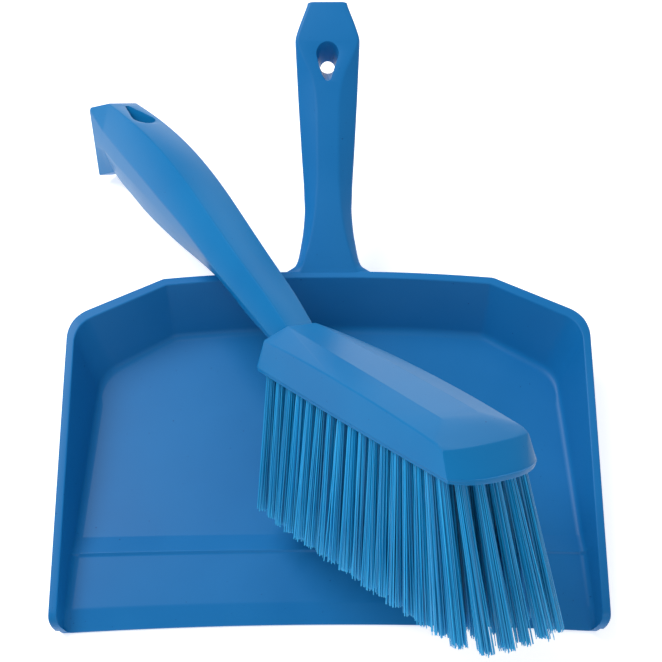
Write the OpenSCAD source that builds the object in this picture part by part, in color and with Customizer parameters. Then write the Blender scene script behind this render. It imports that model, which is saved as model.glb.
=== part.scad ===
// Dust pan and hand brush set.
// The open pan stands on the table and the brush leans over it, heel of the bristles on the pan floor.
// Frame: Z up, origin at the middle of the flat underside of the scoop, the lip faces -Y.

/* [Pan scoop] */
// Width over the rim
pan_width = 260; // [200:1:320]
// Front lip to rear rim
pan_depth = 172.5; // [140:0.5:220]
// Height of the rim at the rear
rim_height = 34; // [24:0.5:50]
// Height of the side rim at the front
front_height = 14; // [8:0.5:24]
// Width of the flat rim band
rim_band = 4; // [3:0.1:7]
// Wall thickness
wall = 2.6; // [1.8:0.1:4]
// Floor thickness
floor_t = 3.6; // [2:0.1:5]
// Height of the floor ramp behind the lip
ramp_height = 4.9; // [4:0.1:8]
// Depth of the ramp from the lip
ramp_depth = 36; // [25:0.5:60]
// Rise of the crest behind the ramp
crest_rise = 0.7; // [0:0.1:2]
// Depth of the slope from the crest to the flat trough
crest_depth = 7.8; // [4:0.1:12]
// Half spacing of the chamfered rear corners
rear_corner_x = 83.6; // [60:0.5:100]
// Backward bow of the rear rim
rear_bow = 4.1; // [0:0.1:8]
// Narrowing of each side from rear to front
side_taper = 1.6; // [0:0.1:5]
// Length of the bevel behind the lip
lip_bevel = 10.2; // [6:0.1:16]
// Hollow of the lip in the middle
lip_bow = 3.6; // [0:0.1:8]

/* [Pan handle] */
// Length along the slope
grip_length = 144; // [110:0.5:170]
// Upward slope in degrees
grip_slope = 25.8; // [10:0.5:35]
// Radius of the round end of the hanging hole
hole_r = 5.8; // [4:0.1:8]
// Distance from the base to the centre of the round end, along the slope
hole_at = 116; // [95:0.5:125]
// Reach of the hole's point, gained from the underside to the top
hole_point = 17.8; // [8:0.1:22]
// Radius of the hole at the underside
hole_out = 4; // [3:0.1:6]

/* [Brush block] */
// Length of the block
block_len = 142; // [120:0.1:180]
// Half width of the base at the heel
heel_half = 21.4; // [16:0.1:26]
// Half width of the base at the front
front_half = 23.5; // [18:0.1:28]
// Upward draft of the sides
side_draft = 1.1; // [0:0.1:3]
// Length of the bowed front
front_bow = 7; // [4:0.1:14]

/* [Brush handle] */
// Radius of the round end of the hanging slot at its narrow side
slot_r = 5.8; // [4:0.1:7]
// Centre of the round end, from the heel of the block
slot_at = 154; // [140:0.5:165]
// Length of the pointed part of the slot
slot_point = 17; // [10:0.1:20]

/* [Bristles] */
// Columns of tufts along the block
columns = 18; // [10:1:18]
// Tufts in one column
rows = 5; // [3:1:5]
// Trimmed length of the bristles
bristle_len = 67.4; // [45:0.1:80]
// Radius of a tuft where it leaves the block
tuft_r = 2.6; // [1.6:0.1:2.7]
// Radius of a tuft at the tips
tip_r = 3.1; // [2.5:0.1:3.2]
// Depth of a tuft hole
hole_depth = 9.5; // [8:0.5:11]
// Forward lean of the front column in degrees
front_lean = 15; // [0:0.5:18]
// Sideways sweep of the heel tufts in degrees
heel_sweep = 2; // [0:0.5:6]
// Extra sideways sweep of the front tufts in degrees
front_sweep = 4.2; // [0:0.1:8]
// Further sideways sweep of the very last tufts in degrees
end_sweep = 3.4; // [0:0.1:6]
// Outward lean of the front edge rows in degrees
edge_lean = 2.4; // [0:0.1:4]

/* [Brush pose] */
// Heel of the block, X
pose_x = -15.6; // [-60:0.1:60]
// Heel of the block, Y
pose_y = 17.6; // [-60:0.1:60]
// Heel of the block, Z
pose_z = 64.4; // [40:0.1:120]
// Roll about the length of the brush
pose_roll = -31.5; // [-45:0.1:45]
// Pitch of the brush
pose_pitch = -30.4; // [-45:0.1:45]
// Heading of the brush
pose_yaw = -47.3; // [-180:0.1:180]

/* [Hidden] */
$fn = 32;
tiny = 0.01;
rear_y = pan_depth / 2;
lip_y = -rear_y - 2.5;
rear_mid = rear_y + rear_bow - 1.8;
half_w = pan_width / 2;
blue = [0.05, 0.36, 0.68];
brush_blue = [0.03, 0.40, 0.70];
hair_blue = [0.03, 0.42, 0.66];
steel = [0.75, 0.76, 0.78];
col_first = 7.2;
col_span = block_len - 15.8;
col_bunch = 0.13;
row_inset = 4.2;

// ---------- helpers ----------
function unit(v) = v / norm(v);

// Points of a fillet of radius r at corner b between a and c, n steps
function fillet(a, b, c, r, n) =
    let (
        u = unit(a - b),
        v = unit(c - b),
        half = acos(u * v) / 2,
        t = r / tan(half),
        m = b + unit(u + v) * r / sin(half),
        p = b + u * t - m,
        q = b + v * t - m,
        turn = acos((p * q) / (r * r)),
        s = (p[0] * q[1] - p[1] * q[0]) > 0 ? 1 : -1
    )
    [for (i = [0:n]) m + [p[0] * cos(s * turn * i / n) - p[1] * sin(s * turn * i / n),
                          p[0] * sin(s * turn * i / n) + p[1] * cos(s * turn * i / n)]];

// Closed loft through rings with the same number of points
module loft(rings) {
    m = len(rings[0]);
    n = len(rings);
    pts = [for (r = rings) for (p = r) p];
    sides = [for (i = [0:n - 2]) for (j = [0:m - 1])
        let (a = i * m + j, b = i * m + (j + 1) % m)
        each [[a, b, b + m], [a, b + m, a + m]]];
    caps = [[for (j = [m - 1:-1:0]) j], [for (j = [0:m - 1]) (n - 1) * m + j]];
    polyhedron(points = pts, faces = concat(sides, caps), convexity = 6);
}

// ---------- pan ----------
// Right half of a plan outline, front to rear middle
function half_plan(x_rear, x_front, y_mid, cx, r1, r2) =
    let (
        y_corner = y_mid - rear_bow,
        side_y = y_corner - (half_w - rear_corner_x) * 0.495,
        c0 = [x_front, lip_y],
        c1 = [x_rear, side_y],
        c2 = [cx, y_corner],
        c3 = [0, y_mid],
        bend = fillet(c1, c2, c3, r2, 3),
        last = bend[3]
    )
    concat([c0, c0 + (c1 - c0) * 0.03, c0 + (c1 - c0) * 0.07, c0 + (c1 - c0) * 0.5],
           fillet(c0, c1, c2, r1, 7), bend,
           [for (k = [3:-1:0]) [last[0] * k / 4, y_mid - (y_mid - last[1]) * pow(k / 4, 2)]]);

floor_in = 13.8;
foot_front = 5.2;
foot_rear = 17;
flange = 1.7;
front_w = half_w - side_taper;
rim_out = half_plan(half_w, front_w, rear_mid, rear_corner_x, 17, 6);
rim_in = half_plan(half_w - rim_band, front_w - rim_band, rear_mid - rim_band, rear_corner_x - 2, 15, 5);
wall_top = half_plan(half_w - rim_band + wall - flange, front_w - rim_band + wall - 0.6,
                     rear_mid - rim_band + wall - flange, rear_corner_x - 1.5, 16, 5.5);
wall_bot = half_plan(half_w - floor_in + wall, front_w - foot_front + wall, rear_mid - foot_rear + wall,
                     rear_corner_x - 2.7, 20, 8);
foot_in = half_plan(half_w - floor_in, front_w - foot_front, rear_mid - foot_rear,
                    rear_corner_x - 3.5, 18, 8);

stations = len(rim_in);

// Height of the rim at a plan station, lower and rounded at the lip
function rim_z(i) =
    let (y = rim_in[i][1], t = min(1, (y - lip_y) / (rear_y - lip_y - 30)))
    i == 0 ? front_height - 7 :
    i == 1 ? front_height - 1.2 : front_height + (rim_height - front_height) * t;

// Wall section at a station: foot, inner rim, outer rim, rim underside, wall, outer foot
function wall_ring(i, s) =
    let (z = rim_z(i), lip = min(3.4, z - 3))
    [[s * foot_in[i][0], foot_in[i][1], floor_t - 1],
     [s * rim_in[i][0], rim_in[i][1], z],
     [s * rim_out[i][0], rim_out[i][1], z],
     [s * rim_out[i][0], rim_out[i][1], z - lip],
     [s * wall_top[i][0], wall_top[i][1], z - lip],
     [s * wall_bot[i][0], wall_bot[i][1], 0]];

module pan_walls() {
    loft(concat([for (i = [0:stations - 1]) wall_ring(i, -1)],
                [for (i = [stations - 2:-1:0]) wall_ring(i, 1)]));
}

// Floor: flat trough, crest with a small step, ramp down to a bevel and a thin hollowed lip
module pan_floor() {
    lip_x = front_w - foot_front + wall / 2;
    lip_line = [for (k = [-6:6]) [lip_x * k / 6, lip_y + lip_bow * (1 - pow(k / 6, 2))]];
    outline = concat([for (i = [1:stations - 1]) wall_bot[i]],
                     [for (i = [stations - 2:-1:1]) [-wall_bot[i][0], wall_bot[i][1]]],
                     lip_line);
    crest_y = lip_y + ramp_depth + 1.8;
    profile = [[lip_y, 0], [lip_y, 0.9], [lip_y + lip_bevel, 3.5], [lip_y + ramp_depth, ramp_height],
               [crest_y, ramp_height + crest_rise], [crest_y + crest_depth, floor_t],
               [rear_mid, floor_t], [rear_mid, 0]];
    intersection() {
        linear_extrude(height = 12) polygon(outline);
        translate([-half_w, 0, 0])
            rotate([90, 0, 90])
                linear_extrude(height = pan_width) polygon(profile);
    }
}

// Handle stations: along, half width, half width of the top facet, edge drop, depth, dish
grip_stations = [
    [2, 23, 15, 2.4, 7, -1.5],
    [4.2, 22, 14.4, 2.4, 8.5, -1.6],
    [5, 19.6, 14, 2.6, 10, -1.6],
    [6.2, 17.8, 13.6, 3, 11.5, -1.5],
    [8.5, 16.4, 12.9, 3.4, 13, -1.4],
    [13, 15, 11.6, 4, 15, -1.2],
    [20, 13.8, 9.2, 4.6, 16.5, -0.9],
    [28, 12.7, 7.1, 5, 17, -0.6],
    [36, 12.2, 6.1, 5.2, 17, -0.3],
    [50, 12.8, 5.6, 5.2, 17, 0],
    [65, 13.6, 5.6, 5.1, 16.6, 0.2],
    [80, 14.6, 5.8, 4.9, 16, 0.3],
    [94, 15.4, 6.8, 4.3, 15, 0.3],
    [104, 15.9, 9.6, 3.4, 14, 0.2],
    [114, 16.5, 12.8, 2.3, 13, 0.1],
    [123.5, 16.8, 15.4, 1.4, 12.4, 0],
    [134, 13.9, 12.6, 1.3, 11.4, -0.2],
    [grip_length - 1.2, 10.6, 9.4, 1.2, 10.4, -0.4],
    [grip_length, 9.8, 8.6, 1.4, 9.4, -1]];

function grip_ring(s) = [
    [-s[2], s[0], s[5]], [s[2], s[0], s[5]],
    [s[1], s[0], s[5] - s[3]], [s[1] * 0.94, s[0], s[5] - s[4] + 3], [s[1] * 0.8, s[0], s[5] - s[4]],
    [-s[1] * 0.8, s[0], s[5] - s[4]], [-s[1] * 0.94, s[0], s[5] - s[4] + 3], [-s[1], s[0], s[5] - s[3]]];

// Upright hole in the handle, tear-drop above and round below; share k runs from bottom to top
function drop_ring(k, z) =
    let (
        r = hole_out + (hole_r - hole_out) * k,
        tip_r = 3.6 + (1.7 - 3.6) * k,
        mid_y = hole_at * cos(grip_slope) + 1.1 * (1 - k),
        tip_y = mid_y - 1.2 - hole_point * k
    )
    concat([for (i = [0:12]) [r * cos(i * 15), mid_y + r * 0.92 * sin(i * 15), z]],
           [for (i = [0:8]) [-tip_r * cos(i * 22.5), tip_y - tip_r * sin(i * 22.5), z]]);

module grip() {
    base = [0, rear_y - 2.5, rim_height];
    difference() {
        translate(base)
            rotate([grip_slope, 0, 0])
                loft([for (i = [len(grip_stations) - 1:-1:0]) grip_ring(grip_stations[i])]);
        translate([0, base[1], 0])
            loft([drop_ring(1.4, 91.2), drop_ring(0, 69.5), drop_ring(0, 58)]);
    }
}

module pan() {
    color(blue)
        difference() {
            union() {
                pan_walls();
                pan_floor();
                grip();
            }
            translate([-half_w, lip_y - 5, -20]) cube([pan_width, pan_depth + 40, 20]);
        }
}

// ---------- brush ----------
module place_brush() {
    translate([pose_x, pose_y, pose_z])
        rotate([pose_roll, pose_pitch, pose_yaw])
            children();
}

// Value at share t of a curve with three control values
function quad(v, t) = v[0] * pow(1 - t, 2) + 2 * v[1] * (1 - t) * t + v[2] * t * t;

crown_len = block_len - 4.2;
// Half width of the base, height of the sides, height and half width of the crown, heel to front
base_curve = [heel_half, heel_half + 2.8, front_half];
side_curve = [15, 18.2, 11.6];
crown_curve = [20.4, 19, 14.9];
flat_curve = [7.6, 10.2, 9.2];
heel_cut = 1.6;
side_x = block_len - front_bow;

function base_half(x) = quad(base_curve, min(1, x / crown_len));

function block_ring(x) =
    let (t = x / crown_len, w = base_half(x) - side_draft, h = quad(side_curve, t))
    [[x, -quad(flat_curve, t), quad(crown_curve, t)], [x, -w, h], [x, w, h],
     [x, quad(flat_curve, t), quad(crown_curve, t)]];

// Plan at height share k, from the base to the top edge of the sides
function block_plan(k) =
    let (
        d = side_draft * k,
        x0 = 2.4 * k - 0.8,
        x1 = side_x - 6 * k,
        bow = front_bow * (1 - 0.72 * k),
        w1 = base_half(x1) - d,
        near = [for (i = [0:8]) let (x = x0 + heel_cut + (x1 - x0 - heel_cut) * i / 8) [x, base_half(x) - d]],
        front = [for (i = [7:-1:-7]) [x1 + bow * (1 - pow(abs(i) / 8, 3)), w1 * i / 8]],
        w0 = base_half(0) - d
    )
    concat([[x0, w0 - heel_cut]], near, front,
           [for (i = [8:-1:0]) [near[i][0], -near[i][1]]], [[x0, -w0 + heel_cut]]);

module block_body() {
    top = side_curve[2];
    hull() {
        linear_extrude(height = 0.4) polygon(block_plan(0));
        translate([0, 0, top - 0.4]) linear_extrude(height = 0.4) polygon(block_plan(1));
        loft([for (i = [0:10]) block_ring(4 + (crown_len - 24) * i / 10)]);
        translate([2, 0, side_curve[0] - 0.6])
            linear_extrude(height = 0.4)
                polygon([[0, -heel_half + 4], [3, -heel_half + 1.2], [3, heel_half - 1.2], [0, heel_half - 4]]);
        translate([2, 0, crown_curve[0] - 0.8])
            linear_extrude(height = 0.4) polygon([[0, -7], [2, -7], [2, 7], [0, 7]]);
    }
}

// Handle stations: x, top, its half width, widest edge and height, lower edge and height, keel and height
arch_stations = [
    [0, 20.5, 7.3, 9.4, 8.9, 7.2, 5.5, 3, 2],
    [-13.8, 28.4, 7.9, 10.6, 15.6, 8.2, 11, 3.6, 8],
    [-27.7, 35.3, 8.4, 11.6, 21.5, 9, 16.2, 4.6, 13.2],
    [-55.3, 49.2, 9.1, 13.1, 32.9, 10.3, 27.9, 5.9, 24.8],
    [-83, 63.6, 9.5, 13.9, 45.4, 11.2, 38.3, 6.9, 31.8],
    [-110.6, 75.4, 9.7, 14.1, 55.4, 11.5, 46.9, 6.9, 37],
    [-138.3, 84, 9.4, 13.6, 64.8, 11.3, 54.9, 6.2, 42.9],
    [-165.9, 89.8, 8.9, 12.4, 73.4, 10.6, 62.5, 4.7, 49.9],
    [-178, 91.8, 8.6, 11.7, 77.2, 10.1, 66.2, 3.5, 53.9]];

function between(tab, k, t) =
    let (p0 = tab[max(0, k - 1)], p1 = tab[k], p2 = tab[k + 1], p3 = tab[min(len(tab) - 1, k + 2)])
    0.5 * (2 * p1 + (p2 - p0) * t + (2 * p0 - 5 * p1 + 4 * p2 - p3) * t * t
           + (3 * p1 - p0 - 3 * p2 + p3) * pow(t, 3));

function arch_ring(s) = [
    [s[0], s[2], s[1]], [s[0], -s[2], s[1]], [s[0], -s[3], s[4]], [s[0], -s[5], s[6]],
    [s[0], -s[7], s[8]], [s[0], s[7], s[8]], [s[0], s[5], s[6]], [s[0], s[3], s[4]]];

module arch_handle() {
    last = len(arch_stations) - 1;
    loft(concat(
        [arch_ring([9, 17, 6, 8, 8, 6.4, 5, 2.6, 1.5]), arch_ring([3, 18.8, 6.8, 8.8, 8.4, 7, 5.2, 2.8, 1.6])],
        [for (k = [0:last - 1]) for (i = [0:2]) arch_ring(between(arch_stations, k, i / 3))],
        [arch_ring(arch_stations[last]), arch_ring([-193.6, 87.2, 11.2, 11.9, 85.4, 8, 66, 4.6, 49])]));
}

// Hanging slot through the handle, pointed towards the end and wider above
module arch_hole() {
    point = 1.4;
    translate([-slot_at, 0, 40])
        linear_extrude(height = 60, scale = 1.2) {
            circle(r = slot_r);
            polygon([[-1.4, -slot_r * 0.97], [-1.4, slot_r * 0.97], [-slot_point, point], [-slot_point, -point]]);
            translate([-slot_point, 0]) circle(r = point);
        }
}

function share(i) = i / (columns - 1);
function col_x(i) = col_first + col_span * (share(i) + col_bunch * share(i) * (1 - share(i)));
function col_lean(i) = -0.6 + (front_lean + 0.6) * pow(share(i), 3);
function col_sweep(i) = heel_sweep + front_sweep * pow(share(i), 2) + end_sweep * pow(share(i), 16);
function row_share(j) = (j - (rows - 1) / 2) / ((rows - 1) / 2);
function col_half(i) = i == columns - 1 ? front_half - 7.7 : base_half(col_x(i)) - row_inset;
function depth(i) = i == columns - 1 ? hole_depth - 4 : hole_depth;
function row_bow(i, j) = i == columns - 1 ? 1.6 * (1 - pow(row_share(j), 2)) : 0;

// Frame of one tuft: at its hole mouth, local -Z along the bristles
module at_tuft(i, j) {
    translate([col_x(i) + row_bow(i, j), row_share(j) * col_half(i), 0])
        rotate([col_sweep(i) + edge_lean * pow(share(i), 3) * row_share(j), -col_lean(i), 0])
            children();
}

module tuft(i, j) {
    reach = bristle_len / cos(col_lean(i));
    at_tuft(i, j) {
        translate([0, 0, -0.3]) cylinder(r = tuft_r, h = depth(i) - 1.7, $fn = 14);
        translate([0, 0, -reach + 0.4])
            cylinder(r1 = tip_r, r2 = tuft_r, h = reach - 0.7 + tiny, $fn = 14);
    }
}

module tufts(i) {
    color(hair_blue)
        place_brush()
            for (j = [0:rows - 1])
                tuft(i, j);
}

module stock() {
    color(brush_blue)
        place_brush()
            difference() {
                union() {
                    block_body();
                    arch_handle();
                }
                arch_hole();
                for (i = [0:columns - 1])
                    for (j = [0:rows - 1])
                        at_tuft(i, j)
                            translate([0, 0, -3]) cylinder(r = tuft_r + 0.06, h = depth(i) + 3, $fn = 14);
            }
}

// Wire anchors folded over the bundles at the bottom of the holes
module anchors() {
    color(steel)
        place_brush()
            for (i = [0:columns - 1])
                for (j = [0:rows - 1])
                    at_tuft(i, j)
                        translate([-tuft_r + 0.15, -0.2, depth(i) - 1.75])
                            cube([2 * tuft_r - 0.3, 0.4, 1.4]);
}

pan();
stock();
anchors();
tufts(0);  // tufts_01
tufts(1);  // tufts_02
tufts(2);  // tufts_03
tufts(3);  // tufts_04
tufts(4);  // tufts_05
tufts(5);  // tufts_06
tufts(6);  // tufts_07
tufts(7);  // tufts_08
tufts(8);  // tufts_09
tufts(9);  // tufts_10
tufts(10);  // tufts_11
tufts(11);  // tufts_12
tufts(12);  // tufts_13
tufts(13);  // tufts_14
tufts(14);  // tufts_15
tufts(15);  // tufts_16
tufts(16);  // tufts_17
tufts(17);  // tufts_18
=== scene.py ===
import math
import random

import bmesh
import bpy
from mathutils import Euler, Matrix, Vector


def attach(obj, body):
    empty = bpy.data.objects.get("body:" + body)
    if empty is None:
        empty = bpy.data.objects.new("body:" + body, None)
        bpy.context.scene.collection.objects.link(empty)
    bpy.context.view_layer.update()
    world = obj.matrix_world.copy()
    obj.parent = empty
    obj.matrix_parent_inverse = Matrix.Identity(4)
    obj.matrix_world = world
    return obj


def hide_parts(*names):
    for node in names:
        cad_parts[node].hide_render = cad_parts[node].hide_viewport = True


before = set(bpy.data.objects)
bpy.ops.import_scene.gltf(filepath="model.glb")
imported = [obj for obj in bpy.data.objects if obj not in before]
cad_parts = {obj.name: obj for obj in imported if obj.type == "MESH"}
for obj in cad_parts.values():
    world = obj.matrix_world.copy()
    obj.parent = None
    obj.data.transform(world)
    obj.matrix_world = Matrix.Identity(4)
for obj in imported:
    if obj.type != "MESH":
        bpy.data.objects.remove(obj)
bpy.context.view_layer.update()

MM = 0.001
random.seed(11)

# ---------------------------------------------------------------- sizes, mm
HALF_W = 130.0
FRONT_HALF = 128.4
REAR_Y = 86.25
REAR_BOW = 4.1
REAR_TUCK = 1.8
REAR_MID = REAR_Y + REAR_BOW - REAR_TUCK
LIP_Y = -88.75
LIP_BOW = 3.6
LIP_FADE = 70.0
NOSE_R = 3.4
NOSE_IN = 1.9
CORNER_X = 83.6
RIM_H = 34.0
FRONT_H = 14.0
NOSE_H = 7.0
NOSE_RUN = 5.0
BAND = 4.0
WALL = 2.6
FLANGE = 1.7
SKIRT = 3.4
FLOOR_IN = 13.8
FOOT_FRONT = 5.2
FOOT_REAR = 17.0
CORNER_SLOPE = 0.495
LIP_Z = 0.9
BEVEL_Z = 3.5
FLOOR_Z = 3.6
RAMP_Z = 4.9
RAMP_D = 35.4
BEVEL_D = 10.2
CREST_Z = 5.75
CREST_D = 36.8
TROUGH_D = 45.9
GRIP_LEN = 144.0
GRIP_SLOPE = 25.8
GRIP_Y = REAR_Y - 2.5
HOLE_AT = 116.3
BLOCK_LEN = 142.0
FRONT_BOW = 7.0
DRAFT = 1.1
HEEL_CUT = 1.6
HANDLE_LEN = 193.6
SLOT_AT = 154.0
COLUMNS = 18
ROWS = 5
BRISTLE = 67.4
TUFT_R = 2.5
COL_FIRST = 7.2
COL_SPAN = BLOCK_LEN - 15.8
COL_BUNCH = 0.13
ROW_INSET = 4.2
LAST_INSET = 7.7
LAST_BOW = 1.6
POSE_POS = (-15.6, 17.6, 64.4)
POSE_ROT = (-31.5, -30.4, -47.3)


# ---------------------------------------------------------------- mesh helpers
def make(name, verts, faces, sharp=32.0):
    """Object from points in mm."""
    me = bpy.data.meshes.new(name)
    me.from_pydata([(v[0] * MM, v[1] * MM, v[2] * MM) for v in verts], [], faces)
    me.update()
    bm = bmesh.new()
    bm.from_mesh(me)
    bmesh.ops.recalc_face_normals(bm, faces=bm.faces)
    bm.to_mesh(me)
    bm.free()
    me.shade_smooth()
    me.set_sharp_from_angle(angle=math.radians(sharp))
    ob = bpy.data.objects.new(name, me)
    bpy.context.scene.collection.objects.link(ob)
    return ob


def loft(rings):
    """Surface through rings with the same number of points, capped at both ends."""
    m = len(rings[0])
    verts = [p for r in rings for p in r]
    faces = []
    for i in range(len(rings) - 1):
        for j in range(m):
            a, b = i * m + j, i * m + (j + 1) % m
            faces.append((a, b, b + m, a + m))
    faces.append(tuple(range(m - 1, -1, -1)))
    faces.append(tuple((len(rings) - 1) * m + j for j in range(m)))
    return verts, faces


def soft_ring(points, cuts, steps, closed=True):
    """A ring whose corners are rounded: cuts holds each corner's set-back in mm."""
    pts = [Vector(p) for p in points]
    n = len(pts)
    out = []
    for k in range(n):
        p, c = pts[k], cuts[k]
        if c <= 0 or (not closed and k in (0, n - 1)):
            out.append(p)
            continue
        a, b = pts[k - 1], pts[(k + 1) % n]
        da, db = (a - p), (b - p)
        ca = min(c, da.length * 0.48)
        cb = min(c, db.length * 0.48)
        pa, pb = p + da.normalized() * ca, p + db.normalized() * cb
        for s in range(steps + 1):
            t = s / steps
            out.append(pa * (1 - t) ** 2 + p * (2 * t * (1 - t)) + pb * t * t)
    return out


def spline(table, count):
    """Catmull-Rom through the rows of a table of numbers."""
    out = []
    n = len(table)
    for i in range(n - 1):
        p0 = table[max(0, i - 1)]
        p1, p2 = table[i], table[i + 1]
        p3 = table[min(n - 1, i + 2)]
        for s in range(count):
            t = s / count
            row = []
            for a, b, c, d in zip(p0, p1, p2, p3):
                row.append(0.5 * (2 * b + (c - a) * t + (2 * a - 5 * b + 4 * c - d) * t * t
                                  + (3 * b - a - 3 * c + d) * t ** 3))
            out.append(row)
    out.append(list(table[-1]))
    return out


def bake_modifiers(ob, sharp=32.0):
    """Applies the object's modifiers to its mesh."""
    deps = bpy.context.evaluated_depsgraph_get()
    me = bpy.data.meshes.new_from_object(ob.evaluated_get(deps))
    ob.modifiers.clear()
    ob.data = me
    me.shade_smooth()
    me.set_sharp_from_angle(angle=math.radians(sharp))


def cut(ob, cutter):
    mod = ob.modifiers.new("cut", "BOOLEAN")
    mod.operation = "DIFFERENCE"
    mod.solver = "EXACT"
    mod.object = cutter
    bake_modifiers(ob)
    bpy.data.objects.remove(cutter, do_unlink=True)


def soften(ob, width, segments, angle, sharp=40.0):
    mod = ob.modifiers.new("soften", "BEVEL")
    mod.width = width * MM
    mod.segments = segments
    mod.limit_method = "ANGLE"
    mod.angle_limit = math.radians(angle)
    mod.use_clamp_overlap = True
    bake_modifiers(ob, sharp)


# ---------------------------------------------------------------- materials
def node_of(tree, kind, **values):
    n = tree.nodes.new(kind)
    for k, v in values.items():
        setattr(n, k, v)
    return n


def moulded(name, base, pale, deep, rough, shine):
    """Satin moulded plastic: faint cloudy colour, fine grain and a few dark specks."""
    mat = bpy.data.materials.new(name)
    mat.use_nodes = True
    t = mat.node_tree
    bsdf = t.nodes["Principled BSDF"]
    link = t.links.new
    coord = node_of(t, "ShaderNodeTexCoord")
    cloud = node_of(t, "ShaderNodeTexNoise")
    cloud.inputs["Scale"].default_value = 14.0
    cloud.inputs["Detail"].default_value = 3.0
    link(coord.outputs["Object"], cloud.inputs["Vector"])
    ramp = node_of(t, "ShaderNodeValToRGB")
    ramp.color_ramp.elements[0].position = 0.32
    ramp.color_ramp.elements[0].color = (*deep, 1)
    ramp.color_ramp.elements[1].position = 0.70
    ramp.color_ramp.elements[1].color = (*pale, 1)
    mid = ramp.color_ramp.elements.new(0.5)
    mid.color = (*base, 1)
    link(cloud.outputs["Fac"], ramp.inputs["Fac"])
    speck = node_of(t, "ShaderNodeTexNoise")
    speck.inputs["Scale"].default_value = 620.0
    speck.inputs["Detail"].default_value = 1.0
    link(coord.outputs["Object"], speck.inputs["Vector"])
    gate = node_of(t, "ShaderNodeMapRange")
    gate.inputs["From Min"].default_value = 0.77
    gate.inputs["From Max"].default_value = 0.83
    link(speck.outputs["Fac"], gate.inputs["Value"])
    mix = node_of(t, "ShaderNodeMix", data_type="RGBA")
    link(gate.outputs["Result"], mix.inputs[0])
    link(ramp.outputs["Color"], mix.inputs[6])
    mix.inputs[7].default_value = (deep[0] * 0.4, deep[1] * 0.5, deep[2] * 0.6, 1)
    link(mix.outputs[2], bsdf.inputs["Base Color"])
    grain = node_of(t, "ShaderNodeTexNoise")
    grain.inputs["Scale"].default_value = 1500.0
    grain.inputs["Detail"].default_value = 2.0
    link(coord.outputs["Object"], grain.inputs["Vector"])
    rmap = node_of(t, "ShaderNodeMapRange")
    rmap.inputs["To Min"].default_value = rough - 0.05
    rmap.inputs["To Max"].default_value = rough + 0.07
    link(cloud.outputs["Fac"], rmap.inputs["Value"])
    link(rmap.outputs["Result"], bsdf.inputs["Roughness"])
    bump = node_of(t, "ShaderNodeBump")
    bump.inputs["Strength"].default_value = 0.10
    bump.inputs["Distance"].default_value = 0.0001
    link(grain.outputs["Fac"], bump.inputs["Height"])
    link(bump.outputs["Normal"], bsdf.inputs["Normal"])
    bsdf.inputs["IOR"].default_value = 1.49
    bsdf.inputs["Specular IOR Level"].default_value = shine
    return mat


def bristle_material():
    """Glossy drawn filament: each filament has its own tone, and the cut tips are paler."""
    mat = bpy.data.materials.new("filament")
    mat.use_nodes = True
    t = mat.node_tree
    bsdf = t.nodes["Principled BSDF"]
    link = t.links.new
    tone = node_of(t, "ShaderNodeAttribute", attribute_name="tone")
    split = node_of(t, "ShaderNodeSeparateColor")
    link(tone.outputs["Color"], split.inputs["Color"])
    ramp = node_of(t, "ShaderNodeValToRGB")
    ramp.color_ramp.elements[0].color = (0.003, 0.200, 0.460, 1)
    ramp.color_ramp.elements[1].color = (0.012, 0.400, 0.800, 1)
    link(split.outputs["Red"], ramp.inputs["Fac"])
    tip = node_of(t, "ShaderNodeMapRange")
    tip.inputs["From Min"].default_value = 0.72
    tip.inputs["From Max"].default_value = 1.0
    tip.inputs["To Max"].default_value = 0.55
    link(split.outputs["Green"], tip.inputs["Value"])
    mix = node_of(t, "ShaderNodeMix", data_type="RGBA")
    link(tip.outputs["Result"], mix.inputs[0])
    link(ramp.outputs["Color"], mix.inputs[6])
    mix.inputs[7].default_value = (0.05, 0.45, 0.80, 1)
    coord = node_of(t, "ShaderNodeTexCoord")
    cloud = node_of(t, "ShaderNodeTexNoise")
    cloud.inputs["Scale"].default_value = 260.0
    link(coord.outputs["Object"], cloud.inputs["Vector"])
    rmap = node_of(t, "ShaderNodeMapRange")
    rmap.inputs["To Min"].default_value = 0.30
    rmap.inputs["To Max"].default_value = 0.44
    link(cloud.outputs["Fac"], rmap.inputs["Value"])
    link(rmap.outputs["Result"], bsdf.inputs["Roughness"])
    link(mix.outputs[2], bsdf.inputs["Base Color"])
    bsdf.inputs["Specular IOR Level"].default_value = 0.35
    return mat


def wire_material():
    mat = bpy.data.materials.new("anchor_wire")
    mat.use_nodes = True
    t = mat.node_tree
    bsdf = t.nodes["Principled BSDF"]
    link = t.links.new
    coord = node_of(t, "ShaderNodeTexCoord")
    cloud = node_of(t, "ShaderNodeTexNoise")
    cloud.inputs["Scale"].default_value = 400.0
    link(coord.outputs["Object"], cloud.inputs["Vector"])
    ramp = node_of(t, "ShaderNodeValToRGB")
    ramp.color_ramp.elements[0].color = (0.50, 0.51, 0.53, 1)
    ramp.color_ramp.elements[1].color = (0.72, 0.73, 0.75, 1)
    link(cloud.outputs["Fac"], ramp.inputs["Fac"])
    link(ramp.outputs["Color"], bsdf.inputs["Base Color"])
    bsdf.inputs["Metallic"].default_value = 1.0
    bsdf.inputs["Roughness"].default_value = 0.3
    return mat


PAN_MAT = moulded("pan_plastic", base=(0.006, 0.148, 0.400), pale=(0.009, 0.158, 0.418),
                  deep=(0.004, 0.137, 0.380), rough=0.36, shine=0.17)
BRUSH_MAT = moulded("brush_plastic", base=(0.003, 0.158, 0.405), pale=(0.006, 0.170, 0.425),
                    deep=(0.002, 0.146, 0.385), rough=0.34, shine=0.15)
HAIR_MAT = bristle_material()
WIRE_MAT = wire_material()


def finish_piece(ob, mat, body, slot, *nodes):
    ob.data.materials.clear()
    ob.data.materials.append(mat)
    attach(ob, body)
    if nodes:
        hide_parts(*nodes)


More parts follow.
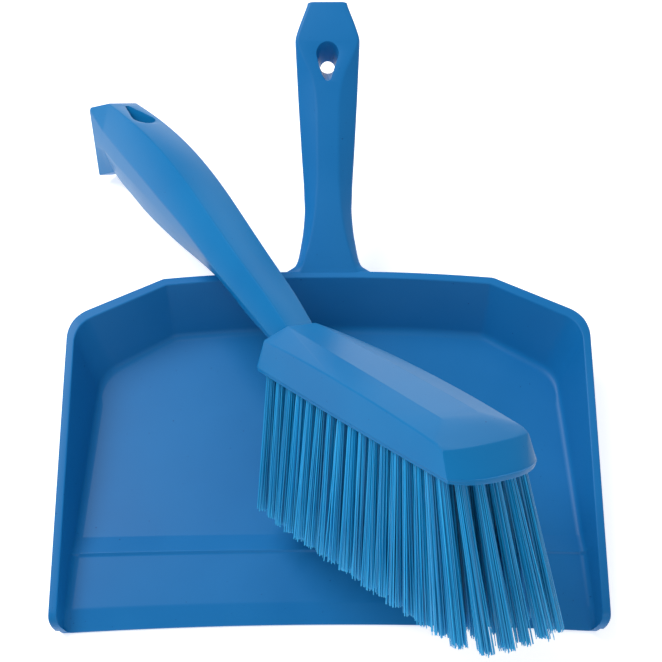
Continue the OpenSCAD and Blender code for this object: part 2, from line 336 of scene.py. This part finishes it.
# ---------------------------------------------------------------- pan scoop
# Stations along the sides, mm behind the lip: close at the nose, the bevel and both feet of the crest
SIDE_D = [0, 0.4, 0.9, 1.5, 2.2, 3.0, 4.0, 5.2, 6.8, 8.4, 9.4, 10.2, 11, 13, 17, 22, 28, 33, 34.8, 35.4,
          35.9, 36.4, 36.8, 37.2, 38.4, 40, 42, 44, 45.2, 45.9, 46.3, 47.2, 50, 56, 63, 72, 82, 92, 102,
          110, 116]


def lerp2(a, b, t):
    return (a[0] + (b[0] - a[0]) * t, a[1] + (b[1] - a[1]) * t)


def fillet2(a, b, c, r, n):
    """Arc of radius r in n steps that rounds the corner b between a and c."""
    a, b, c = Vector(a), Vector(b), Vector(c)
    u, v = (a - b).normalized(), (c - b).normalized()
    half = u.angle(v) / 2
    set_back = r / math.tan(half)
    m = b + (u + v).normalized() * r / math.sin(half)
    p, q = b + u * set_back - m, b + v * set_back - m
    turn = p.angle(q)
    s = 1 if p.x * q.y - p.y * q.x > 0 else -1
    out = []
    for i in range(n + 1):
        w = s * turn * i / n
        cw, sw = math.cos(w), math.sin(w)
        out.append((m.x + p.x * cw - p.y * sw, m.y + p.x * sw + p.y * cw))
    return out


def nose_in(y):
    """How far the sides draw in at the rounded front corner."""
    d = max(0.0, NOSE_R - (y - LIP_Y)) / NOSE_R
    return NOSE_IN * (1 - math.sqrt(max(0.0, 1 - d ** 2)))


def half_plan(x_rear, x_front, y_mid, cx, r1, r2):
    """Right half of a plan outline, from the lip round both corners to the middle of the rear."""
    y_corner = y_mid - REAR_BOW
    side_y = y_corner - (HALF_W - CORNER_X) * CORNER_SLOPE
    c0, c1, c2, c3 = (x_front, LIP_Y), (x_rear, side_y), (cx, y_corner), (0, y_mid)
    f1 = fillet2(c0, c1, c2, r1, 12)
    f2 = fillet2(c1, c2, c3, r2, 6)
    run = f1[0][1] - LIP_Y
    pts = []
    for d in SIDE_D:
        d = d * min(1.0, (run - 2) / SIDE_D[-1]) if d > 50 else d
        pts.append(lerp2(c0, c1, d / (side_y - LIP_Y)))
    nose = [(x - nose_in(y), y) for x, y in pts]
    mid = [lerp2(f1[-1], f2[0], k / 6) for k in range(1, 6)]
    last = f2[-1]
    rear = [(last[0] * k / 12, y_mid - (y_mid - last[1]) * (k / 12) ** 2) for k in range(11, -1, -1)]
    return nose + f1 + mid + f2 + rear


RIM_OUT = half_plan(HALF_W, FRONT_HALF, REAR_MID, CORNER_X, 17, 6)
RIM_IN = half_plan(HALF_W - BAND, FRONT_HALF - BAND, REAR_MID - BAND, CORNER_X - 2, 15, 5)
WALL_TOP = half_plan(HALF_W - BAND + WALL - FLANGE, FRONT_HALF - BAND + WALL - 0.6,
                     REAR_MID - BAND + WALL - FLANGE, CORNER_X - 1.5, 16, 5.5)
WALL_BOT = half_plan(HALF_W - FLOOR_IN + WALL, FRONT_HALF - FOOT_FRONT + WALL,
                     REAR_MID - FOOT_REAR + WALL, CORNER_X - 2.7, 20, 8)
FOOT_IN = half_plan(HALF_W - FLOOR_IN, FRONT_HALF - FOOT_FRONT, REAR_MID - FOOT_REAR, CORNER_X - 3.5, 18, 8)


def smooth(t):
    t = min(1.0, max(0.0, t))
    return t * t * (3 - 2 * t)


def floor_z(y):
    """Height of the floor: thin lip, bevel, ramp, small step up to a crest, slope down to the flat trough."""
    d = y - LIP_Y
    if d < BEVEL_D:
        return LIP_Z + (BEVEL_Z - LIP_Z) * (d / BEVEL_D)
    if d < RAMP_D:
        return BEVEL_Z + (RAMP_Z - BEVEL_Z) * (d - BEVEL_D) / (RAMP_D - BEVEL_D)
    if d < CREST_D:
        return RAMP_Z + (CREST_Z - RAMP_Z) * smooth((d - RAMP_D) / (CREST_D - RAMP_D))
    return CREST_Z + (FLOOR_Z - CREST_Z) * min(1.0, (d - CREST_D) / (TROUGH_D - CREST_D))


def lip_shift(x, y):
    """Backward shift of a floor point: the lip, its bevel and the crest are hollow in the middle."""
    across = max(0.0, 1 - (x / (FRONT_HALF - 6)) ** 2)
    return LIP_BOW * across * max(0.0, 1 - (y - LIP_Y) / LIP_FADE)


def rim_z(y):
    """Height of the rim: rounded down at the lip, rising towards the rear."""
    d = y - LIP_Y
    z = FRONT_H + (RIM_H - FRONT_H) * min(1.0, d / (REAR_Y - LIP_Y - 30))
    if d < NOSE_RUN:
        z = NOSE_H + (z - NOSE_H) * math.sqrt(max(0.0, 1 - ((NOSE_RUN - d) / NOSE_RUN) ** 2))
    return z


def wall_ring(i, s):
    """Section of the wall at station i, on the side s of the middle: fillet, rim, skirt and outer foot."""
    fx, fy = FOOT_IN[i]
    ix, iy = RIM_IN[i]
    ox, oy = RIM_OUT[i]
    wx, wy = WALL_TOP[i]
    bx, by = WALL_BOT[i]
    z = rim_z(iy)
    fz = floor_z(fy)
    lip = min(SKIRT, max(0.8, z - fz - 0.8))
    dx, dy = fx - ix, fy - iy
    k = math.hypot(dx, dy) or 1.0
    dx, dy = dx / k, dy / k
    reach = min(9.0, max(3.0, fx - 0.5)) if fx > 3 else 9.0
    pts = [
        (s * (fx + dx * reach), fy + dy * reach, fz - 0.05),
        (s * fx, fy, fz - 0.02),
        (s * ix, iy, z),
        (s * ox, oy, z),
        (s * ox, oy, z - lip),
        (s * wx, wy, z - lip),
        (s * bx, by, 0.0),
        (s * (bx + dx * reach), by + dy * reach, 0.02),
    ]
    pts = [(x, y + lip_shift(x, y), h) for x, y, h in pts]
    rise = max(0.5, z - fz)
    return soft_ring(pts, [0, min(3.2, rise * 0.4), 0.7, 0.9, 0.7, 0.6, 1.6, 0], 5, closed=False)


def scoop():
    n = len(FOOT_IN)
    rings = [wall_ring(i, -1) for i in range(n)] + [wall_ring(i, 1) for i in range(n - 2, -1, -1)]
    walls = make("pan_walls", *loft(rings))
    # floor plate: one row for each wall station, both ends hidden in the wall's fillet
    rows, cols = [], 24
    for i in range(n - 1):
        x, y = FOOT_IN[i]
        x = max(0.5, x - 1.2)
        back = 0.6 if y > 40 else 0
        rows.append([(x * (2 * c / cols - 1), y - back) for c in range(cols + 1)])
    top = [[(x, y + lip_shift(x, y), floor_z(y)) for x, y in r] for r in rows]
    low = [[(x, y + lip_shift(x, y), 0.01) for x, y in r] for r in rows]
    verts = [p for r in top for p in r] + [p for r in low for p in r]
    w = cols + 1
    off = len(rows) * w
    faces = []
    for i in range(len(rows) - 1):
        for c in range(cols):
            a = i * w + c
            faces.append((a, a + 1, a + 1 + w, a + w))
            faces.append((off + a, off + a + w, off + a + 1 + w, off + a + 1))
        for a, b in ((i * w, i * w + w), (i * w + w + cols, i * w + cols)):
            faces.append((a, b, b + off, a + off))
    for c in range(cols):
        faces.append((c + 1, c, c + off, c + 1 + off))
        a = (len(rows) - 1) * w + c
        faces.append((a, a + 1, a + 1 + off, a + off))
    floor = make("pan_floor", verts, faces, 50)
    return walls, floor


# ---------------------------------------------------------------- pan handle
# Along, half width, half width of the top facet, edge drop, depth, dish
GRIP = [
    (1.5, 24.0, 15.0, 2.4, 7, -1.6),
    (3, 23.0, 14.6, 2.4, 8, -1.6),
    (4.2, 21.4, 14.2, 2.5, 9, -1.6),
    (5.4, 19.4, 13.8, 2.7, 10.3, -1.6),
    (7, 17.2, 13.2, 3.2, 12, -1.5),
    (9.5, 15.9, 12.5, 3.6, 13.5, -1.4),
    (13, 15.0, 11.5, 4.0, 15, -1.2),
    (18, 14.1, 9.9, 4.4, 16.2, -1.0),
    (25, 13.0, 8.3, 4.9, 17, -0.7),
    (35, 12.2, 6.8, 5.1, 17, -0.3),
    (42, 12.4, 6.2, 5.2, 17, -0.1),
    (50, 12.7, 5.6, 5.2, 17, 0),
    (65, 13.7, 5.5, 5.1, 16.6, 0.2),
    (80, 14.6, 5.6, 4.9, 16, 0.3),
    (92, 15.3, 5.9, 4.4, 15.2, 0.3),
    (104, 15.9, 8.0, 3.5, 14, 0.2),
    (114, 16.4, 12.4, 2.4, 13, 0.1),
    (121, 16.7, 15.4, 1.6, 12.6, 0),
    (125, 16.5, 15.6, 1.4, 12.3, 0),
    (131, 14.7, 13.6, 1.3, 11.7, -0.1),
    (138, 12.1, 11.0, 1.3, 11, -0.3),
    (141.5, 10.8, 9.7, 1.3, 10.6, -0.4),
    (143.2, 10.4, 9.3, 1.3, 10.2, -0.5),
]
GRIP_SOFT = (1.0, 1.0, 1.3, 2.0, 2.4, 2.4, 2.0, 1.3)


def grip_ring(row):
    s, w, t, drop, deep, dish = row
    right = [(w, dish - drop), (w * 0.94, dish - deep + 3), (w * 0.8, dish - deep)]
    pts = [(-t, s, dish), (t, s, dish)]
    pts += [(x, s, z) for x, z in right] + [(-x, s, z) for x, z in reversed(right)]
    return soft_ring(pts, GRIP_SOFT, 3)


def drop_plan(r, at, point, end_r):
    """Tear-drop outline: round end at y = at, small end 'point' mm down Y from it."""
    pts = []
    beta = math.asin((r - end_r) / point)
    for i in range(25):
        a = -beta + (math.pi + 2 * beta) * i / 24
        pts.append((r * math.cos(a), at + r * math.sin(a)))
    for i in range(9):
        a = math.pi + beta + (math.pi - 2 * beta) * i / 8
        pts.append((end_r * math.cos(a), at + (-point + end_r * math.sin(a))))
    return pts


def drop_cutter(levels):
    """Cutter through levels of (height, round end radius, centre, point length, point radius)."""
    return loft([[(x, y, z) for x, y in drop_plan(r, at, point, end_r)]
                 for z, r, at, point, end_r in levels])


def pan_handle():
    rows = spline(GRIP, 4)
    last = rows[-1]
    # rounded end: back from the end, then the change of each of the other values
    for back, *change in ((0.35, -0.5, -0.5, 0.2, -0.8, -0.35), (0.0, -1.3, -1.3, 0.3, -2.2, -1.1)):
        rows.append([GRIP_LEN - back] + [v + c for v, c in zip(last[1:], change)])
    ob = make("pan_handle", *loft([grip_ring(r) for r in rows]))
    slope = Matrix.Rotation(math.radians(GRIP_SLOPE), 4, "X")
    ob.data.transform(Matrix.Translation(Vector((0, GRIP_Y, RIM_H)) * MM) @ slope)
    # the hole is upright: round and small below, a long tear-drop above
    centre = GRIP_Y + HOLE_AT * math.cos(math.radians(GRIP_SLOPE))
    levels = [(56, 3.9, centre + 1.1, 0.8, 3.6), (73.6, 4.0, centre + 1.1, 1.2, 3.6),
              (78.4, 5.3, centre + 0.3, 11.2, 1.7), (85, 5.8, centre, 19.0, 1.7),
              (92, 6.1, centre - 0.2, 20.0, 1.7)]
    cut(ob, make("cutter", *drop_cutter(levels)))
    soften(ob, 0.6, 3, 48)
    return ob


WALLS, FLOOR = scoop()
HANDLE = pan_handle()
for piece in (WALLS, FLOOR, HANDLE):
    finish_piece(piece, PAN_MAT, "pan", "pan_plastic", "pan")

# ---------------------------------------------------------------- brush
POSE_TURN = Euler([math.radians(a) for a in POSE_ROT], "XYZ").to_matrix().to_4x4()
BRUSH_AT = Matrix.Translation(Vector(POSE_POS) * MM) @ POSE_TURN


def quad(v, t):
    """Value at share t of a curve with three control values."""
    return (1 - t) ** 2 * v[0] + 2 * (1 - t) * t * v[1] + t * t * v[2]


# Heel to front: half width of the base, height of the sides, height and half width of the crown
CROWN_LEN = BLOCK_LEN - 4.2
BASE_CURVE = (21.4, 24.2, 23.5)
SIDE_CURVE = (15.0, 18.2, 11.6)
CROWN_CURVE = (20.4, 19.0, 14.9)
FLAT_CURVE = (7.6, 10.2, 9.2)
SIDE_X = BLOCK_LEN - FRONT_BOW


def base_half(x):
    return quad(BASE_CURVE, min(1.0, x / CROWN_LEN))


def block_plan(k, z, inset=0.0):
    """Outline at share k of the side height, heel corners cut, front bowed."""
    d = DRAFT * k + inset
    x0, x1 = 2.4 * k - 0.8 + inset, SIDE_X - 6 * k - inset * 0.6
    bow = FRONT_BOW * (1 - 0.72 * k)
    w1, w0 = base_half(x1) - d, base_half(0) - d
    near = [(x0, w0 - HEEL_CUT), (x0 + 0.45, w0 - 0.5)]
    for i in range(17):
        x = x0 + HEEL_CUT + (x1 - x0 - HEEL_CUT) * i / 16
        near.append((x, base_half(x) - d))
    front = [(x1 + bow * (1 - abs(i / 14) ** 3), w1 * i / 14) for i in range(13, -14, -1)]
    return [(x, y, z) for x, y in near + front + [(x, -y) for x, y in reversed(near)]]


def crown_section(x):
    """Top of the block at x: both side edges and the crown, which drops towards the front."""
    t = x / CROWN_LEN
    w, h = base_half(x) - DRAFT, quad(SIDE_CURVE, t)
    f, c = quad(FLAT_CURVE, t), quad(CROWN_CURVE, t) - 0.01 * max(0.0, x - 110.0) ** 2
    return [(x, -f, c), (x, -w, h), (x, w, h), (x, f, c)]


def block():
    """Body of the block as a convex hull, and the sole under it."""
    pts = block_plan(0, 1.2) + block_plan(0.97, SIDE_CURVE[2] - 0.3)
    for i in range(34):
        pts += crown_section(3 + (CROWN_LEN - 15.0) * i / 33)
    heel = BASE_CURVE[0] - 1.2
    pts += [(1.6, -heel + 1.4, 14.5), (1.6, heel - 1.4, 14.5), (1.8, -7.2, 20.0), (1.8, 7.2, 20.0)]
    bm = bmesh.new()
    for p in pts:
        bm.verts.new(p)
    bmesh.ops.convex_hull(bm, input=bm.verts)
    loose = [v for v in bm.verts if not v.link_faces]
    bmesh.ops.delete(bm, geom=loose, context="VERTS")
    bmesh.ops.dissolve_limit(bm, angle_limit=math.radians(0.3), verts=bm.verts, edges=bm.edges)
    me = bpy.data.meshes.new("hull")
    bm.to_mesh(me)
    bm.free()
    verts = [tuple(v.co) for v in me.vertices]
    faces = [tuple(p.vertices) for p in me.polygons]
    ob = make("brush_block", verts, faces, 7.0)
    soften(ob, 0.7, 3, 20, 7.0)
    sole = [block_plan(0, z, inset) for z, inset in ((0.0, 0.7), (0.35, 0.4), (2.2, 0.4))]
    return ob, make("brush_sole", *loft(sole))


# Half widths of the handle from the block to its end: top facet, widest edge and lower edge
TOP_HALF = (7.3, 11.6, 8.1)
EDGE_HALF = (9.4, 18.1, 10.6)
LOWER_HALF = (7.2, 14.4, 9.4)
ARCH_STEP = HANDLE_LEN / 14

# Distance in steps, height of the top, of the widest edge and of the lower edge, keel half width and height
ARCH = [
    (0, 20.5, 8.9, 5.5, 3.0, 2.0),
    (1, 28.5, 15.4, 11.0, 3.6, 8.0),
    (2, 35.4, 21.5, 16.1, 4.6, 13.1),
    (3, 42.1, 27.3, 22.2, 5.3, 18.7),
    (4, 49.1, 32.9, 27.9, 6.0, 23.8),
    (5, 56.3, 39.2, 33.4, 6.7, 27.6),
    (6, 63.4, 45.4, 38.3, 7.1, 30.5),
    (7, 69.8, 50.6, 42.7, 7.2, 33.0),
    (8, 75.4, 55.4, 46.9, 7.1, 35.8),
    (9, 80.1, 60.2, 51.0, 6.8, 38.8),
    (10, 84.0, 64.8, 54.9, 6.3, 42.2),
    (11, 87.2, 69.2, 58.8, 5.6, 46.3),
    (12, 89.8, 73.4, 62.5, 4.7, 49.9),
    (178 / ARCH_STEP, 91.8, 77.2, 66.2, 3.5, 53.9),
]
ARCH_SOFT = (0.8, 0.8, 1.0, 0.8, 0.8, 0.8, 0.8, 1.0)


def arch_row(steps, top, edge_z, lower_z, keel, keel_z):
    """Full station: x, then half width and height of each edge from the top to the keel."""
    t = steps * ARCH_STEP / HANDLE_LEN
    return (-steps * ARCH_STEP, top, quad(TOP_HALF, t), quad(EDGE_HALF, t), edge_z,
            quad(LOWER_HALF, t), lower_z, keel, keel_z)


def arch_ring(row):
    x, z, a, w, zw, b, zb, c, zc = row
    side = [(w, zw), (b, zb), (c, zc)]
    pts = [(x, a, z), (x, -a, z)]
    pts += [(x, -y, h) for y, h in side] + [(x, y, h) for y, h in reversed(side)]
    return soft_ring(pts, ARCH_SOFT, 2)


def arch_handle():
    rings = [arch_ring((9, 17.0, 6.0, 8.0, 8.0, 6.4, 5.0, 2.6, 1.5)),
             arch_ring((3, 18.8, 6.8, 8.8, 8.4, 7.0, 5.2, 2.8, 1.6))]
    stations = [arch_row(*row) for row in ARCH]
    rings += [arch_ring(row) for row in spline(stations, 4)]
    # hooked end: the ends flare and the top drops in one flat facet
    start, tip = stations[-1], (-HANDLE_LEN, 87.2, 11.2, 11.9, 85.4, 8.0, 66.0, 4.6, 49.0)
    for k in (0.03, 0.5, 0.97, 1.0):
        rings.append(arch_ring([p + (q - p) * k for p, q in zip(start, tip)]))
    ob = make("brush_handle", *loft(rings))
    levels = [(40, 5.7, 0, 14.0, 1.4), (52, 5.9, 0, 14.6, 1.4),
              (87, 6.3, 0, 17.8, 1.5), (100, 6.5, 0, 18.4, 1.5)]
    verts, faces = drop_cutter(levels)
    turned = [(v[1] - SLOT_AT, -v[0], v[2]) for v in verts]
    cut(ob, make("cutter", turned, faces))
    soften(ob, 0.5, 3, 30)
    return ob


for piece in (*block(), arch_handle()):
    piece.data.transform(BRUSH_AT)
    finish_piece(piece, BRUSH_MAT, "brush", "brush_plastic", "stock")

# ---------------------------------------------------------------- tufts
def share(i):
    return i / (COLUMNS - 1)


def tuft_matrix(i, j):
    """Frame of tuft j in column i: at its hole mouth, local -Z along the bristles."""
    u, side = share(i), (j - 2) / 2
    last = i == COLUMNS - 1
    x = COL_FIRST + COL_SPAN * (u + COL_BUNCH * u * (1 - u))
    half = BASE_CURVE[2] - LAST_INSET if last else base_half(x) - ROW_INSET
    bow = LAST_BOW * (1 - side ** 2) if last else 0
    lean = -0.6 + 15.6 * u ** 3
    sweep = 2 + 4.2 * u ** 2 + 3.4 * u ** 16 + (1.6 * u ** 3 + 1.2 * u ** 16) * side
    rot = Euler((math.radians(sweep), math.radians(-lean), 0), "XYZ").to_matrix().to_4x4()
    return Matrix.Translation(Vector((x + bow, side * half, 0))) @ rot


def filament(verts, faces, tones, m, root, tip, bow, radius, tone, trim):
    """One tapering five-sided tube from root to tip, trimmed at its own height."""
    sides, rings = 5, 5
    base = len(verts)
    for k in range(rings + 1):
        t = k / rings
        c = Vector((*lerp2(root, tip, t), -BRISTLE * 1.02 * t + 1.5))
        c.x += bow[0] * t * t
        c.y += bow[1] * t * t
        p = m @ c
        if k == rings:
            q = m @ Vector((c.x, c.y, 0))
            d = (p - q).normalized()
            p = q + d * ((trim - q.z) / d.z)
        r = radius * (1 - 0.18 * t)
        for s in range(sides):
            a = 2 * math.pi * s / sides + tone * 7
            verts.append((p.x + r * math.cos(a), p.y + r * math.sin(a), p.z))
            tones.append((tone, t, 0, 1))
    for k in range(rings):
        for s in range(sides):
            a, b = base + k * sides + s, base + k * sides + (s + 1) % sides
            faces.append((a, b, b + sides, a + sides))
    faces.append(tuple(base + s for s in range(sides - 1, -1, -1)))
    faces.append(tuple(base + rings * sides + s for s in range(sides)))


PER_TUFT = 64
GOLDEN_ANGLE = 2.39996
FILAMENT_R = 0.27
TIP_SPREAD = 1.5
WILD_SHARE = 0.03
LONG_SHARE = 0.05


def tuft_column(i):
    verts, faces, tones = [], [], []
    for j in range(ROWS):
        m = tuft_matrix(i, j)
        lean = (random.gauss(0, 0.5), random.gauss(0, 0.5))
        for k in range(PER_TUFT):
            rr = math.sqrt((k + 0.5) / PER_TUFT)
            aa = k * GOLDEN_ANGLE + random.random() * 0.3
            root = (TUFT_R * 0.86 * rr * math.cos(aa), TUFT_R * 0.86 * rr * math.sin(aa))
            grow = TIP_SPREAD + random.gauss(0, 0.16)
            wild = 1.6 if random.random() < WILD_SHARE else 0.5
            tip = (root[0] * grow + lean[0] + random.gauss(0, wild * 0.5),
                   root[1] * grow + lean[1] + random.gauss(0, wild * 0.5))
            bow = (random.gauss(0, 0.35), random.gauss(0, 0.35))
            trim = -BRISTLE + random.gauss(0, 0.2)
            if random.random() < LONG_SHARE:
                trim += random.random() * 1.4
            radius = FILAMENT_R + random.gauss(0, 0.015)
            filament(verts, faces, tones, m, root, tip, bow, radius, random.random(), trim)
    name = f"bristles_{i + 1:02d}"
    ob = make(name, verts, faces, 60)
    layer = ob.data.color_attributes.new("tone", "FLOAT_COLOR", "POINT")
    for k, c in enumerate(tones):
        layer.data[k].color = c
    ob.data.transform(BRUSH_AT)
    finish_piece(ob, HAIR_MAT, "brush", "filament", f"tufts_{i + 1:02d}")


for column in range(COLUMNS):
    tuft_column(column)

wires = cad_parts["anchors"]
wires.data.materials.clear()
wires.data.materials.append(WIRE_MAT)

# ---------------------------------------------------------------- stage, lights, camera
floor_mat = bpy.data.materials.new("backdrop")
floor_mat.use_nodes = True
ft = floor_mat.node_tree
fb = ft.nodes["Principled BSDF"]
fn = node_of(ft, "ShaderNodeTexNoise")
fn.inputs["Scale"].default_value = 3.0
fr = node_of(ft, "ShaderNodeValToRGB")
fr.color_ramp.elements[0].color = (0.92, 0.92, 0.92, 1)
fr.color_ramp.elements[1].color = (0.95, 0.95, 0.95, 1)
ft.links.new(fn.outputs["Fac"], fr.inputs["Fac"])
ft.links.new(fr.outputs["Color"], fb.inputs["Base Color"])
fb.inputs["Roughness"].default_value = 0.9
fb.inputs["Emission Color"].default_value = (1, 1, 1, 1)
fb.inputs["Emission Strength"].default_value = 0.5
bpy.ops.mesh.primitive_plane_add(size=60, location=(0, 0, -0.0006))
ground = bpy.context.object
ground.name = "ground"
ground.data.materials.append(floor_mat)

world = bpy.data.worlds.new("studio")
bpy.context.scene.world = world
world.use_nodes = True
world.node_tree.nodes["Background"].inputs["Color"].default_value = (1.0, 1.0, 1.0, 1)
world.node_tree.nodes["Background"].inputs["Strength"].default_value = 0.46


def area(name, loc, size, power, target=(0, 0, 0.04)):
    lamp = bpy.data.lights.new(name, "AREA")
    lamp.shape = "RECTANGLE"
    lamp.size, lamp.size_y = size
    lamp.energy = power
    ob = bpy.data.objects.new(name, lamp)
    bpy.context.scene.collection.objects.link(ob)
    ob.location = loc
    ob.rotation_euler = (Vector(target) - Vector(loc)).to_track_quat("-Z", "Y").to_euler()


area("key", (-0.66, 0.48, 1.15), (0.8, 0.8), 15)
area("fill", (0.3, -1.0, 0.8), (0.8, 0.8), 3)
area("back", (0.5, 1.2, 0.5), (0.6, 0.4), 2)

bpy.context.scene.view_settings.view_transform = "Standard"

cam_data = bpy.data.cameras.new("camera")
cam_data.sensor_width = 36
cam_data.lens = 71.8
cam = bpy.data.objects.new("camera", cam_data)
bpy.context.scene.collection.objects.link(cam)
elev, roll, dist = math.radians(59.9), math.radians(-0.23), 0.6729
target = Vector((0.0012, 0.0626, 0.0176))
forward = Vector((0, math.cos(elev), -math.sin(elev)))
right = Vector((1, 0, 0))
up = right.cross(forward)
r2 = right * math.cos(roll) + up * math.sin(roll)
u2 = up * math.cos(roll) - right * math.sin(roll)
turn = Matrix((r2, u2, -forward)).transposed().to_4x4()
cam.matrix_world = Matrix.Translation(target - forward * dist) @ turn
bpy.context.scene.camera = cam

bpy.context.view_layer.update()
